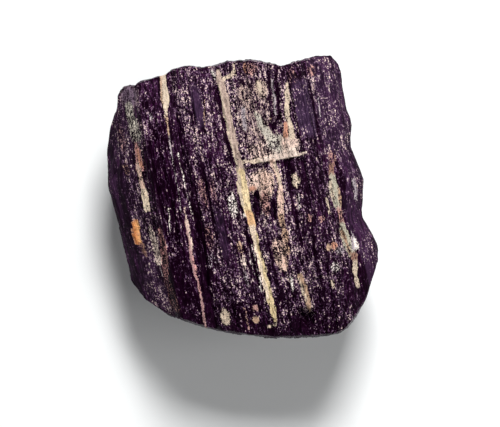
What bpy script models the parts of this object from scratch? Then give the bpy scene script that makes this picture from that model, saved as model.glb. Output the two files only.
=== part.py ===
"""Rough chunk of black tourmaline (schorl), lying on the flat face of its back.

The stone grew as one bundle of parallel crystals, so it is one closed body. It starts as a
plain block that is scored along the lines where crystals, grooves and ledges run. Each corner
of the scored block is then moved to its place on the stone.

Sizes in this script are millimetres, and the mesh is in metres. +Y runs along the crystals,
+X runs across them and +Z points up, out of the striated front. The origin is under the middle
of the stone, on the plane it rests on.
"""

import math
import random
from collections import namedtuple

import bmesh
import bpy
from mathutils import Vector, noise

NAME = "tourmaline_crystal"
MM = 0.001

# Overall size
WIDTH = 42.4
LENGTH = 48.7
THICKNESS = 24.0
HALF_WIDTH = WIDTH / 2
HALF_LENGTH = LENGTH / 2

# Outline of the stone from above. The sides are x at a given y, the ends are y at a given x.
LEFT_SIDE = [
    (-11.0, -19.8), (-8.9, -20.4), (-5.2, -20.5), (0.0, -20.7), (3.5, -20.9), (7.0, -21.2),
    (11.3, -20.5), (13.8, -20.1),
]
RIGHT_SIDE = [
    (-12.6, 21.2), (-11.5, 21.2), (-10.3, 21.0), (-9.2, 20.8), (-7.9, 20.3), (-6.1, 19.7),
    (-4.9, 19.8), (-3.3, 20.3), (0.0, 21.1), (2.3, 20.8), (5.8, 20.1), (7.4, 20.3), (9.3, 20.9), (10.6, 20.9),
    (12.1, 20.6), (16.2, 20.7), (18.2, 20.9), (19.7, 20.8),
]
UPPER_END = [
    (-21.2, 12.3), (-20.1, 13.6), (-18.8, 16.8), (-18.0, 18.2), (-17.0, 19.6), (-16.5, 21.6),
    (-15.8, 22.6), (-15.0, 23.0), (-13.1, 22.9), (-12.2, 23.3), (-8.0, 23.5), (-6.8, 24.15),
    (-4.8, 24.35), (-3.7, 24.2), (-1.8, 23.5), (0.6, 23.5), (2.6, 23.7), (6.4, 23.1), (9.0, 22.2),
    (11.2, 21.2), (12.7, 21.4), (15.0, 21.6), (16.9, 21.7), (19.6, 21.4), (20.8, 19.7),
    (21.2, 19.0),
]
LOWER_END = [
    (-21.2, -9.2), (-20.4, -10.0), (-19.1, -12.0), (-16.6, -14.5), (-15.1, -15.9), (-11.9, -17.8),
    (-7.8, -20.0), (-4.0, -21.3), (1.6, -23.0), (5.8, -23.7), (10.0, -24.35), (11.7, -24.35),
    (13.4, -23.7), (15.2, -22.2), (17.5, -19.6), (18.5, -17.6), (19.5, -15.9), (20.6, -14.0),
    (21.2, -12.4),
]
SIDE_REACH = 8.0  # how far in from a side its unevenness bends the crystals
UPPER_REACH = 20.0  # the same, in from the upper end
LOWER_REACH = 25.0  # the same, in from the lower end
FIT_ROUNDS = 6  # rounds that settle a corner where a side meets an end

# Lines of growth that wander along the crystals: x at a given y
LEFT_VEIN = [(-19.0, -9.7), (1.0, -9.6), (16.0, -9.3), (23.5, -8.5)]
MAIN_VEIN = [(-21.0, 1.9), (-12.5, 1.3), (-3.0, 1.0), (3.5, 0.7), (12.5, 1.1), (23.0, 0.8)]
RIGHT_VEIN = [(-18.0, 16.1), (-10.0, 16.6), (-4.0, 16.5), (1.0, 16.4), (22.0, 16.3)]
LEFT_VEIN_AT = -9.5
MAIN_VEIN_AT = 1.1
RIGHT_VEIN_AT = 16.4

# Front face across the crystals: its height falls away from the crest to both flanks
FRONT_CROWN = [
    (-21.2, 19.2), (-17.2, 21.0), (-14.0, 22.2), (-9.0, 23.4), (-3.0, 24.15), (6.0, 24.15),
    (12.0, 23.5), (16.5, 22.2), (19.0, 21.2), (21.2, 20.4),
]
# Back face across the crystals: flat where the stone rests, and two facets that rise from it
BACK_CROWN = [(-21.2, 2.6), (-17.5, 1.6), (-12.5, 0.0), (11.8, 0.0), (17.0, 1.5), (21.2, 3.0)]
FRONT_SLUMP_START = 13.0  # distance from the middle at which the front starts to fall to an end
FRONT_SLUMP = 1.5
BACK_SLUMP_START = 16.0
BACK_SLUMP = 2.6

# One crystal of the front: from left to right across, with the height of each edge over the crown
Column = namedtuple("Column", "left right rise_left rise_right")
FRONT_COLUMNS = [
    Column(-21.2, -14.5, -0.45, -0.35),
    Column(-14.0, -9.1, -0.05, -0.25),
    Column(-6.8, -4.9, -0.35, -0.05),
    Column(-4.4, -0.4, -0.25, -0.05),
    Column(1.9, 5.1, -0.30, -0.20),
    Column(5.4, 8.4, 0.0, -0.15),
    Column(9.7, 11.6, -0.25, -0.30),
    Column(12.0, 15.3, -0.05, -0.20),
    Column(17.2, 21.2, -0.35, -0.3),
]
GROOVE_DEPTH = {
    (-14.5, -14.0): 0.45,
    (-9.1, -6.8): 1.05,
    (-4.9, -4.4): 0.50,
    (-0.4, 1.9): 0.75,
    (5.1, 5.4): 0.40,
    (8.4, 9.7): 0.80,
    (11.6, 12.0): 0.50,
    (15.3, 17.2): 0.75,
}

# A cross break: below y and between left and right the face drops, and rises again over reach
Ledge = namedtuple("Ledge", "y left right drop reach")
LEDGE_RUN = 0.45  # length of the slope between the two sides of a ledge
LEDGES = [
    Ledge(6.05, 1.6, 12.4, 0.55, 13.0),
    Ledge(17.0, -22.0, -14.2, -0.7, 9.0),
    Ledge(-14.6, 9.0, 16.0, 0.35, 12.0),
    Ledge(-8.0, -22.0, -14.2, 0.35, 9.0),
    Ledge(12.2, -6.8, -4.6, 0.3, 11.0),
]
LEDGE_EDGE = 0.6  # width over which a ledge fades out at its left and right

# A hollow in the front: centre, half width, half length, depth
Pit = namedtuple("Pit", "x y half_width half_length depth")
PITS = [
    Pit(2.7, -0.8, 1.2, 2.7, 1.0),
    Pit(6.7, -21.2, 1.7, 1.9, 1.7),
    Pit(-17.2, -1.3, 1.1, 3.0, 0.7),
    Pit(13.7, 13.4, 1.9, 5.2, 0.45),
    Pit(-16.3, 9.5, 1.0, 3.2, 0.6),
    Pit(17.6, -8.6, 1.1, 2.6, 0.7),
    Pit(-6.0, 4.0, 1.2, 3.4, 0.4),
    Pit(9.0, -6.5, 1.2, 3.0, 0.45),
]
PIT_STEEPNESS = 1.6  # 1 is a pit that slopes all the way to its middle, more has a flatter floor

# Grooves of the back: x of the deepest line, half width, depth
BACK_GROOVES = [
    (-14.6, 0.9, 0.7), (-7.2, 0.7, 0.45), (4.6, 0.8, 0.55), (9.2, 0.6, 0.5), (14.2, 0.9, 0.8),
]

# Flanks, as narrow prism faces: how far each lies inside the outline, at a level from the back
# edge at -1 to the front edge at 1
LEFT_FLANK = [
    (-1.0, 4.4), (-0.75, 2.3), (-0.5, 1.5), (-0.25, 0.3), (0.0, 0.0), (0.3, 0.0), (0.55, 0.6),
    (0.8, 2.0), (1.0, 4.0),
]
RIGHT_FLANK = [
    (-1.0, 3.8), (-0.75, 1.7), (-0.5, 1.4), (-0.25, 0.2), (0.0, 0.5), (0.3, 0.0), (0.55, 0.0),
    (0.8, 0.6), (1.0, 2.2),
]

# Broken ends: how far they draw back at the front edge and towards the back
UPPER_DRAW = [(-1.0, 3.4), (-0.5, 1.6), (0.0, 0.8), (0.3, 0.2), (0.55, 0.0), (0.8, 0.0), (1.0, 0.25)]
LOWER_DRAW = [(-1.0, 2.6), (-0.5, 1.2), (0.0, 0.6), (0.3, 0.1), (0.55, 0.0), (0.8, 0.1), (1.0, 0.5)]
END_STEP = 1.7  # largest step between neighbouring crystals on a broken end
END_STEP_TOP = 0.45  # level at which the steps have faded out, so that the outline stays
STEP_LINES = 3  # lines across the stone that share one step

# Unevenness of the flanks, ends and front
LUMP_SIZE = 7.0
LUMP_STRETCH = 0.6  # lumps are longer along the crystals
LUMP_DEPTH = 0.7
FRONT_LUMP_DEPTH = 0.35
LUMP_SEED = Vector((3.7, 11.2, 5.9))
STEP_SEED = 41

OUTLINE_LEVEL = 0.3  # level at which the stone is widest

# Lines that score the block, other than those at the edges of columns and grooves
HEIGHT_LINES = [-0.75, -0.5, -0.25, 0.0, 0.3, 0.55, 0.8]
LONG_GAP = 1.75  # widest gap between lines across the crystals' length
COLUMN_GAP = 1.9  # widest gap between lines across their width
CLOSE = 0.05  # two lines nearer than this are one

STONE_COLOUR = (0.030, 0.016, 0.034, 1.0)
STONE_ROUGHNESS = 0.38


def between(points, at):
    """Value at a place on a line of (place, value) points, held past both ends."""
    if at <= points[0][0]:
        return points[0][1]
    for (start, low), (end, high) in zip(points, points[1:]):
        if at <= end:
            return low + (high - low) * (at - start) / (end - start)
    return points[-1][1]


def ease(value):
    """Smooth step from 0 to 1."""
    value = min(max(value, 0.0), 1.0)
    return value * value * (3.0 - 2.0 * value)


def fill_gaps(lines, low, high, widest):
    """Sorted lines between low and high, with more put in where a gap is too wide."""
    marks = [low]
    for line in sorted(lines) + [high]:
        if line <= marks[-1] + CLOSE or line > high:
            continue
        start = marks[-1]
        parts = max(1, math.ceil((line - start) / widest))
        marks += [start + (line - start) * step / parts for step in range(1, parts + 1)]
    return marks[1:-1]


def column_lines():
    """Where the block is scored along its length: the edges and bottoms of the grooves."""
    lines = []
    for left, right in GROOVE_DEPTH:
        lines += [left, (left + right) / 2, right]
    return fill_gaps(lines, -HALF_WIDTH, HALF_WIDTH, COLUMN_GAP)


def cross_lines():
    """Where the block is scored across its length: both sides of each ledge."""
    lines = []
    for ledge in LEDGES:
        lines += [ledge.y - LEDGE_RUN, ledge.y]
    return fill_gaps(lines, -HALF_LENGTH, HALF_LENGTH, LONG_GAP)


def score(bm, axis, lines):
    """Cut the block's surface along planes square to one axis."""
    normal = Vector((0.0, 0.0, 0.0))
    normal[axis] = 1.0
    for line in lines:
        geometry = bm.verts[:] + bm.edges[:] + bm.faces[:]
        bmesh.ops.bisect_plane(bm, geom=geometry, plane_co=normal * line, plane_no=normal)


def column_rise(x):
    """Height of the front's crystals and grooves over its crown, at a place across them."""
    for (left, right), depth in GROOVE_DEPTH.items():
        if left + CLOSE < x < right - CLOSE:
            return -depth
    column = min(FRONT_COLUMNS, key=lambda one: max(one.left - x, x - one.right))
    share = (x - column.left) / (column.right - column.left)
    return column.rise_left + (column.rise_right - column.rise_left) * share


def ledge_drop(x, y):
    """Depth of the face under the ledges."""
    drop = 0.0
    for ledge in LEDGES:
        below = ledge.y - y
        if below <= 0.0 or below >= ledge.reach:
            continue
        across = min(x - ledge.left, ledge.right - x) / LEDGE_EDGE
        along = min(below / LEDGE_RUN, 1.0) * (1.0 - below / ledge.reach)
        drop += ledge.drop * along * min(max(across, 0.0), 1.0)
    return drop


def pit_depth(x, y):
    """Depth of the front's hollows."""
    depth = 0.0
    for pit in PITS:
        distance = math.hypot((x - pit.x) / pit.half_width, (y - pit.y) / pit.half_length)
        depth = max(depth, pit.depth * ease(PIT_STEEPNESS * (1.0 - distance)))
    return depth


def slump(y, start, amount):
    """Fall of a face towards the ends of the stone."""
    past = max(abs(y) - start, 0.0) / (HALF_LENGTH - start)
    return amount * past * past


def lumps(x, y, z, depth):
    """Broad unevenness, between 0 and depth."""
    swell = noise.noise(Vector((x, y * LUMP_STRETCH, z)) / LUMP_SIZE + LUMP_SEED)
    return depth * ease(0.5 + swell)


def front_height(x, y):
    """Height of the striated front above the plane the stone rests on."""
    height = between(FRONT_CROWN, x) + column_rise(x)
    height -= ledge_drop(x, y) + pit_depth(x, y) + slump(y, FRONT_SLUMP_START, FRONT_SLUMP)
    return height - lumps(x, y, THICKNESS, FRONT_LUMP_DEPTH)


def back_height(x, y):
    """Height of the back, which is 0 over the face that the stone rests on."""
    height = between(BACK_CROWN, x) + slump(y, BACK_SLUMP_START, BACK_SLUMP)
    for groove, half_width, depth in BACK_GROOVES:
        height += depth * max(1.0 - abs(x - groove) / half_width, 0.0)
    return height


def grain(x, y):
    """Bend a straight line of growth to follow the veins beside it."""
    knots = [
        (-HALF_WIDTH, -HALF_WIDTH),
        (LEFT_VEIN_AT, between(LEFT_VEIN, y)),
        (MAIN_VEIN_AT, between(MAIN_VEIN, y)),
        (RIGHT_VEIN_AT, between(RIGHT_VEIN, y)),
        (HALF_WIDTH, HALF_WIDTH),
    ]
    return between(knots, x)


def end_steps(lines):
    """Steps of the crystals on the two broken ends: (side, column line, height line) to depth."""
    pick = random.Random(STEP_SEED)
    steps = {}
    for side in (-1, 1):
        bands = [pick.uniform(0.0, END_STEP) for _ in HEIGHT_LINES]
        for line in range(len(lines) + 2):
            if line % STEP_LINES == 0:
                bands = [pick.uniform(0.0, END_STEP) for _ in HEIGHT_LINES]
            for band, depth in enumerate(bands):
                steps[side, line, band] = depth
    return steps


def nearest(lines, value):
    """Number of the line that is nearest to a value."""
    return min(range(len(lines)), key=lambda number: abs(lines[number] - value))


def fit_to_outline(line_x, line_y, sides, ends):
    """Move a point of the block so that the block's edges land on the stone's outline."""
    left_in, right_in = sides
    upper_in, lower_in = ends
    left_share = max(1.0 - (line_x + HALF_WIDTH) / SIDE_REACH, 0.0)
    right_share = max(1.0 - (HALF_WIDTH - line_x) / SIDE_REACH, 0.0)
    upper_share = max(1.0 - (HALF_LENGTH - line_y) / UPPER_REACH, 0.0)
    lower_share = max(1.0 - (line_y + HALF_LENGTH) / LOWER_REACH, 0.0)
    x, y = line_x, line_y
    for _ in range(FIT_ROUNDS):
        upper_shift = between(UPPER_END, x) - upper_in - HALF_LENGTH
        lower_shift = between(LOWER_END, x) + lower_in + HALF_LENGTH
        y = line_y + upper_shift * upper_share + lower_shift * lower_share
        left_shift = between(LEFT_SIDE, y) + left_in + HALF_WIDTH
        right_shift = between(RIGHT_SIDE, y) - right_in - HALF_WIDTH
        x = grain(line_x, y) + left_shift * left_share + right_shift * right_share
    return x, y


def place(point, columns, steps):
    """Where a corner of the scored block lies on the stone."""
    line_x, line_y, level = point
    sides = (between(LEFT_FLANK, level), between(RIGHT_FLANK, level))
    column = nearest(columns, line_x)
    band = nearest(HEIGHT_LINES, level)
    fade = min(max((END_STEP_TOP - level) / END_STEP_TOP, 0.0), 1.0)
    ends = (
        between(UPPER_DRAW, level) + steps[1, column, band] * fade,
        between(LOWER_DRAW, level) + steps[-1, column, band] * fade,
    )
    x, y = fit_to_outline(line_x, line_y, sides, ends)
    low = back_height(line_x, line_y)
    high = front_height(line_x, line_y)
    z = low + (high - low) * (level + 1.0) / 2.0
    return roughen(Vector((x, y, z)), line_x, line_y, level)


def roughen(spot, line_x, line_y, level):
    """Sink the flanks and the ends by broad lumps, and leave the outline's height band alone."""
    depth = LUMP_DEPTH * min(abs(level - OUTLINE_LEVEL), 1.0)
    sink = lumps(spot.x, spot.y, spot.z, depth)
    if abs(line_x) > HALF_WIDTH - CLOSE:
        spot.x -= math.copysign(sink, line_x)
    if abs(line_y) > HALF_LENGTH - CLOSE:
        spot.y -= math.copysign(sink, line_y)
    return spot


def centre(bm):
    """Put the middle of the stone's box over the origin and its lowest face on the ground."""
    spots = [vert.co for vert in bm.verts]
    low = Vector([min(spot[axis] for spot in spots) for axis in range(3)])
    high = Vector([max(spot[axis] for spot in spots) for axis in range(3)])
    shift = Vector(((low.x + high.x) / 2, (low.y + high.y) / 2, low.z))
    bmesh.ops.translate(bm, vec=-shift, verts=bm.verts)


def build_stone():
    """Mesh of the whole stone: a scored block with every corner moved to its place."""
    columns = column_lines()
    bm = bmesh.new()
    bmesh.ops.create_cube(bm, size=2.0)
    bmesh.ops.scale(bm, vec=(HALF_WIDTH, HALF_LENGTH, 1.0), verts=bm.verts)
    score(bm, 0, columns)
    score(bm, 1, cross_lines())
    score(bm, 2, HEIGHT_LINES)
    steps = end_steps(columns)
    for vert in bm.verts:
        vert.co = place(tuple(vert.co), columns, steps) * MM
    centre(bm)
    bmesh.ops.triangulate(bm, faces=bm.faces[:], quad_method="SHORT_EDGE")
    bmesh.ops.recalc_face_normals(bm, faces=bm.faces[:])
    mesh = bpy.data.meshes.new(NAME)
    bm.to_mesh(mesh)
    bm.free()
    return mesh


def stone_material():
    """Lustrous purple-black schorl."""
    material = bpy.data.materials.new("schorl")
    material.use_nodes = True
    shader = material.node_tree.nodes["Principled BSDF"]
    shader.inputs["Base Color"].default_value = STONE_COLOUR
    shader.inputs["Roughness"].default_value = STONE_ROUGHNESS
    shader.inputs["Metallic"].default_value = 0.0
    return material


def clear_scene():
    """Remove the objects of the open scene."""
    for old in list(bpy.data.objects):
        bpy.data.objects.remove(old, do_unlink=True)


def main():
    clear_scene()
    collection = bpy.data.collections.new("Tourmaline crystal")
    bpy.context.scene.collection.children.link(collection)
    mesh = build_stone()
    mesh.materials.append(stone_material())
    collection.objects.link(bpy.data.objects.new(NAME, mesh))


main()
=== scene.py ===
"""Looks of the tourmaline crystal: one striated black stone with pale seams, on a plain pale floor.

Sizes are in millimetres unless a name says otherwise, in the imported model's frame: +Y runs along the
crystals, +X across them and +Z up, out of the striated front. The stone's surface is that of a block
whose grid is pulled to the stone's outline, as the CAD solid is, with a much finer grid and the
striations, splinters and grain added.
"""

import math
from collections import namedtuple

import bpy
import numpy as np
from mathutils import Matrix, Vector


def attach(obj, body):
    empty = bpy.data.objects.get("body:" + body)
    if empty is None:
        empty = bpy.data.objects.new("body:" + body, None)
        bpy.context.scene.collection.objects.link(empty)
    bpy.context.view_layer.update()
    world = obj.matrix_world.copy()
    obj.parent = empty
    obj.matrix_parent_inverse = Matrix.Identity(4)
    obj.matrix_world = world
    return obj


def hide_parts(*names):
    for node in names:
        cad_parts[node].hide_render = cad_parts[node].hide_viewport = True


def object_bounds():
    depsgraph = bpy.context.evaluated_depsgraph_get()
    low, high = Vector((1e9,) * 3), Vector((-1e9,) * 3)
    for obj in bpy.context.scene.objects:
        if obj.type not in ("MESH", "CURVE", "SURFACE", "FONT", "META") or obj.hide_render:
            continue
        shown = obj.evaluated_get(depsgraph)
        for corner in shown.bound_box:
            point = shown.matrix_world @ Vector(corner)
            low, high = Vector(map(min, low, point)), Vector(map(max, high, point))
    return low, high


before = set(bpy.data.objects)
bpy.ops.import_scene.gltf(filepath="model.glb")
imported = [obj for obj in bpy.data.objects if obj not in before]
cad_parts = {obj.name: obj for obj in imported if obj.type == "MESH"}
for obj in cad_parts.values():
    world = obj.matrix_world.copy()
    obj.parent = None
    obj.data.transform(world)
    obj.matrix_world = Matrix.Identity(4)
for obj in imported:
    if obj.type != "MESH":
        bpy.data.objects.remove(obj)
CAD_LOW, CAD_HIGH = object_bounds()

MM = 0.001
NODE = "tourmaline_crystal"

# ---- shape
# As in the CAD solid, but for the steeper ledges and the narrower groove under the main vein.

WIDTH, LENGTH = 42.4, 48.7
HALF_WIDTH, HALF_LENGTH = WIDTH / 2, LENGTH / 2

# Outline from above. The sides are x at a given y, the ends are y at a given x.
LEFT_SIDE = [
    (-11.0, -19.8), (-8.9, -20.4), (-5.2, -20.5), (0.0, -20.7), (3.5, -20.9), (7.0, -21.2),
    (11.3, -20.5), (13.8, -20.1),
]
RIGHT_SIDE = [
    (-12.6, 21.2), (-11.5, 21.2), (-10.3, 21.0), (-9.2, 20.8), (-7.9, 20.3), (-6.1, 19.7),
    (-4.9, 19.8), (-3.3, 20.3), (0.0, 21.1), (2.3, 20.8), (5.8, 20.1), (7.4, 20.3), (9.3, 20.9),
    (10.6, 20.9), (12.1, 20.6), (16.2, 20.7), (18.2, 20.9), (19.7, 20.8),
]
UPPER_END = [
    (-21.2, 12.3), (-20.1, 13.6), (-18.8, 16.8), (-18.0, 18.2), (-17.0, 19.6), (-16.5, 21.6),
    (-15.8, 22.6), (-15.0, 23.0), (-13.1, 22.9), (-12.2, 23.3), (-8.0, 23.5), (-6.8, 24.15),
    (-4.8, 24.35), (-3.7, 24.2), (-1.8, 23.5), (0.6, 23.5), (2.6, 23.7), (6.4, 23.1), (9.0, 22.2),
    (11.2, 21.2), (12.7, 21.4), (15.0, 21.6), (16.9, 21.7), (19.6, 21.4), (20.8, 19.7),
    (21.2, 19.0),
]
LOWER_END = [
    (-21.2, -9.2), (-20.4, -10.0), (-19.1, -12.0), (-16.6, -14.5), (-15.1, -15.9), (-11.9, -17.8),
    (-7.8, -20.0), (-4.0, -21.3), (1.6, -23.0), (5.8, -23.7), (10.0, -24.35), (11.7, -24.35),
    (13.4, -23.7), (15.2, -22.2), (17.5, -19.6), (18.5, -17.6), (19.5, -15.9), (20.6, -14.0),
    (21.2, -12.4),
]
# How far in from the sides and ends the outline's unevenness bends the crystals
SIDE_REACH, UPPER_REACH, LOWER_REACH = 8.0, 20.0, 25.0
FIT_ROUNDS = 6  # rounds that settle a corner where a side meets an end

# Lines of growth that wander along the crystals: x at a given y
LEFT_VEIN = [(-19.0, -9.7), (1.0, -9.6), (16.0, -9.3), (23.5, -8.5)]
MAIN_VEIN = [(-21.0, 1.9), (-12.5, 1.3), (-3.0, 1.0), (3.5, 0.7), (12.5, 1.1), (23.0, 0.8)]
RIGHT_VEIN = [(-18.0, 16.1), (-10.0, 16.6), (-4.0, 16.5), (1.0, 16.4), (22.0, 16.3)]
LEFT_VEIN_AT, MAIN_VEIN_AT, RIGHT_VEIN_AT = -9.5, 1.1, 16.4

# Height of the front and the back at a place across the crystals
FRONT_CROWN = [
    (-21.2, 19.2), (-17.2, 21.0), (-14.0, 22.2), (-9.0, 23.4), (-3.0, 24.15), (6.0, 24.15),
    (12.0, 23.5), (16.5, 22.2), (19.0, 21.2), (21.2, 20.4),
]
BACK_CROWN = [(-21.2, 2.6), (-17.5, 1.6), (-12.5, 0.0), (11.8, 0.0), (17.0, 1.5), (21.2, 3.0)]
# Where a face starts to fall towards the ends, and how far it falls
FRONT_SLUMP_START, FRONT_SLUMP = 13.0, 1.5
BACK_SLUMP_START, BACK_SLUMP = 16.0, 2.6

# Front profile across the crystals: place, height over the crown. Grooves are the low points.
FRONT_PROFILE = [
    (-21.2, -0.45), (-14.5, -0.35), (-14.25, -0.45), (-14.0, -0.05), (-9.1, -0.25), (-7.8, -1.05),
    (-6.8, -0.35), (-4.9, -0.05), (-4.65, -0.5), (-4.4, -0.25), (-0.4, -0.05), (0.2, -0.75),
    (0.6, -0.4), (1.6, -0.4), (1.9, -0.30), (5.1, -0.20), (5.25, -0.40), (5.4, 0.0), (8.4, -0.15),
    (9.0, -0.8), (9.7, -0.25), (11.6, -0.30), (11.8, -0.50), (12.0, -0.05), (15.3, -0.20),
    (16.2, -0.65), (17.2, -0.35), (21.2, -0.3),
]
# A cross break: below y the face drops, and rises again over reach
Ledge = namedtuple("Ledge", "y left right drop reach")
LEDGES = [
    Ledge(6.05, 1.6, 12.4, 0.55, 13.0),
    Ledge(17.0, -22.0, -14.2, -0.7, 9.0),
    Ledge(-14.6, 9.0, 16.0, 0.35, 12.0),
    Ledge(-8.0, -22.0, -14.2, 0.35, 9.0),
    Ledge(12.2, -6.8, -4.6, 0.3, 11.0),
]
LEDGE_RUN, LEDGE_EDGE = 0.3, 0.6  # length of a ledge's slope, and width over which it fades out
# Hollows in the front: x, y, half width, half length, depth
PITS = [
    (2.7, -0.8, 1.2, 2.7, 1.0),
    (6.7, -21.2, 1.7, 1.9, 1.7),
    (-17.2, -1.3, 1.1, 3.0, 0.7),
    (13.7, 13.4, 1.9, 5.2, 0.45),
    (-16.3, 9.5, 1.0, 3.2, 0.6),
    (17.6, -8.6, 1.1, 2.6, 0.7),
    (-6.0, 4.0, 1.2, 3.4, 0.4),
    (9.0, -6.5, 1.2, 3.0, 0.45),
]
PIT_STEEPNESS = 1.6  # 1 slopes all the way to the middle, more has a flatter floor
# Grooves of the back: x of the deepest line, half width, depth
BACK_GROOVES = [
    (-14.6, 0.9, 0.7), (-7.2, 0.7, 0.45), (4.6, 0.8, 0.55), (9.2, 0.6, 0.5), (14.2, 0.9, 0.8),
]
# How far flanks and ends lie inside the outline, from the back at level -1 to the front at 1
LEFT_FLANK = [
    (-1.0, 4.4), (-0.75, 2.3), (-0.5, 1.5), (-0.25, 0.3), (0.0, 0.0), (0.3, 0.0), (0.55, 0.6),
    (0.8, 2.0), (1.0, 4.0),
]
RIGHT_FLANK = [
    (-1.0, 3.8), (-0.75, 1.7), (-0.5, 1.4), (-0.25, 0.2), (0.0, 0.5), (0.3, 0.0), (0.55, 0.0),
    (0.8, 0.6), (1.0, 2.2),
]
UPPER_DRAW = [(-1.0, 3.4), (-0.5, 1.6), (0.0, 0.8), (0.3, 0.2), (0.55, 0.0), (0.8, 0.0), (1.0, 0.25)]
LOWER_DRAW = [(-1.0, 2.6), (-0.5, 1.2), (0.0, 0.6), (0.3, 0.1), (0.55, 0.0), (0.8, 0.1), (1.0, 0.5)]
END_STEP, END_STEP_TOP = 1.7, 0.45  # largest step of a broken end, and level where steps end
OUTLINE_LEVEL = 0.3  # level at which the stone is widest

# ---- fine relief

GRID_ACROSS, GRID_ALONG, GRID_DEEP = 250, 124, 48
LATTICE = 64  # random values along each side of a table
SEED = 7
LEFT_SEED, RIGHT_SEED, UPPER_SEED, LOWER_SEED = 207, 307, 407, 507
DEEP_MM = 12.0  # from the middle of the stone's thickness to its front
RIM_LEVEL = 0.95  # level above which the rim of an end counts as front
SHARE_OUT = 0.35  # how much of the ends' broken faces stands out of the stone's outline

# Layers of fine lengthwise lines: width, length, weight
STRIATIONS = [(0.85, 16.0, 0.5), (0.4, 10.0, 0.32), (0.2, 6.0, 0.18)]
# Layers of splinters, and of a flank's long crystals: width, length, weight
SPLINTERS = [(0.9, 4.5, 0.6), (0.42, 1.8, 0.4)]
COLUMNS = [(2.1, 13.0, 0.6), (1.0, 6.0, 0.4)]
SPLINTER_BEND = 0.6
# Depth of the relief of a smooth face, and what a rough one has beyond that
STRIATION_DEPTH, ROUGH_STRIATION_DEPTH = 0.16, 0.10
SPLINTER_DEPTH, ROUGH_SPLINTER_DEPTH = 0.05, 0.30
PEBBLE_DEPTH = 0.11
SWELL_DEPTH = 0.35  # depth of the broad unevenness of the front and the flanks
COLUMN_DEPTH = 0.8  # how far a flank's long crystals lie behind its outline
SHARD_DEPTH = 0.9  # the same for the small broken faces of an end
SHARD_TOP = 0.85  # level above which an end has none of them
SIDE_FADE = 0.3  # levels over which a side's relief fades out
STEP_WIDTH, STEP_HEIGHT = 2.6, 0.3  # a stepped crystal of an end: mm across, and levels high
LUMP_DEPTH = 0.5
BACK_SMOOTHNESS, FLANK_SMOOTHNESS = 0.55, 0.75
BACK_SHIFT = 50.0  # moves the back's lines off the front's
BACK_RELIEF, FLANK_RELIEF = 0.8, 0.9  # relief of the back and flanks, as a share of the front's
FLANK_OUT = 0.15  # how far a flank's relief reaches beyond its outline

# Random unevenness: how much, width, length, slice of the noise and number of its table
Uneven = namedtuple("Uneven", "amount width length slice table")
PIT_RIM = Uneven(0.25, 0.6, 0.9, 2.2, 4)
POLISH_PATCHES = Uneven(0.25, 1.5, 4.0, 0.0, 5)
PROFILE_WANDER = Uneven(0.14, 2.5, 4.0, 0.0, 6)
FACE_RIM = Uneven(0.12, 0.5, 1.6, 4.0, 9)
SEAM_WANDER = Uneven(0.16, 0.8, 1.1, 0.0, 50)
SEAM_RAGS = Uneven(0.1, 0.3, 0.5, 0.0, 51)
LEVEL_PATCHES = Uneven(0.16, 1.2, 3.0, 0.0, 60)
FRONT_SWELL = Uneven(1.0, 7.0, 11.0, 0.0, 8)
FLANK_SWELL = Uneven(1.0, 4.0, 9.0, 0.0, 0)
COARSE_PEBBLES = Uneven(1.0, 0.35, 0.6, 0.0, 0)
FINE_PEBBLES = Uneven(0.6, 0.2, 0.32, 5.0, 1)
END_LUMPS = Uneven(1.0, 3.0, 3.0, 0.0, 2)
END_PEBBLES = Uneven(0.12, 0.55, 0.6, 0.0, 3)
SHARD_LEAN = Uneven(0.9, 2.2, 2.2, 0.0, 7)

# Coarse (0) to smooth (1) crystal faces, at a place across the front
POLISH = [
    (-21.2, 0.85), (-18.4, 0.8), (-17.4, 0.3), (-14.5, 0.3), (-13.8, 0.85), (-9.8, 0.85),
    (-6.6, 0.6), (-5.0, 0.45), (-0.5, 0.4), (2.0, 0.1), (9.5, 0.15), (12.0, 0.4), (15.5, 0.4),
    (17.2, 0.5), (21.2, 0.65),
]
# Smooth faces: x, y, half width, half length, how much they stand out; they are polished and carry a
# painted lilac sheen
SMOOTH_FACES = [
    (13.4, 13.6, 1.5, 5.0, 1.0), (-3.7, 17.2, 0.75, 3.6, 0.8), (-3.9, -4.0, 0.75, 4.0, 0.4),
    (18.2, -5.2, 1.4, 4.0, 0.25), (18.2, 13.5, 2.8, 8.5, 0.45),
]


def at(points, value):
    """Value at a place on a line of (place, value) points."""
    places, values = zip(*points)
    return np.interp(value, places, values)


def ease(value):
    """Smooth step from 0 to 1."""
    value = np.clip(value, 0.0, 1.0)
    return value * value * (3.0 - 2.0 * value)


def noise(x, y, z, seed):
    """Random values from -1 to 1 that change smoothly over a distance of 1."""
    table = np.random.default_rng(seed).uniform(-1.0, 1.0, (LATTICE, LATTICE, LATTICE))
    x, y, z = np.broadcast_arrays(x, y, z)
    low = [np.floor(value).astype(int) for value in (x, y, z)]
    part = [ease(value - floor) for value, floor in zip((x, y, z), low)]
    total = np.zeros(x.shape)
    for corner in np.ndindex(2, 2, 2):
        weight = np.ones(x.shape)
        for step, share in zip(corner, part):
            weight = weight * (share if step else 1.0 - share)
        spot = tuple((floor + step) % LATTICE for floor, step in zip(low, corner))
        total += weight * table[spot]
    return total


def uneven(kind, x, y, seed=SEED):
    """Random unevenness of one kind at a place."""
    return kind.amount * noise(x / kind.width, y / kind.length, kind.slice, seed + kind.table)


def splinters(across, along, width, length, seed):
    """Flat splinters a few widths long, each with a random value from 0 to 1."""
    table = np.random.default_rng(seed).uniform(0.0, 1.0, (LATTICE, LATTICE))
    bend = SPLINTER_BEND * noise(0.0, along / (length * 2.0), 0.5, seed + 1)
    column = np.floor(across / width + bend).astype(int) % LATTICE
    row = np.floor(along / length + 7.0 * table[column, 0]).astype(int) % LATTICE
    return table[column, row]


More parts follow.
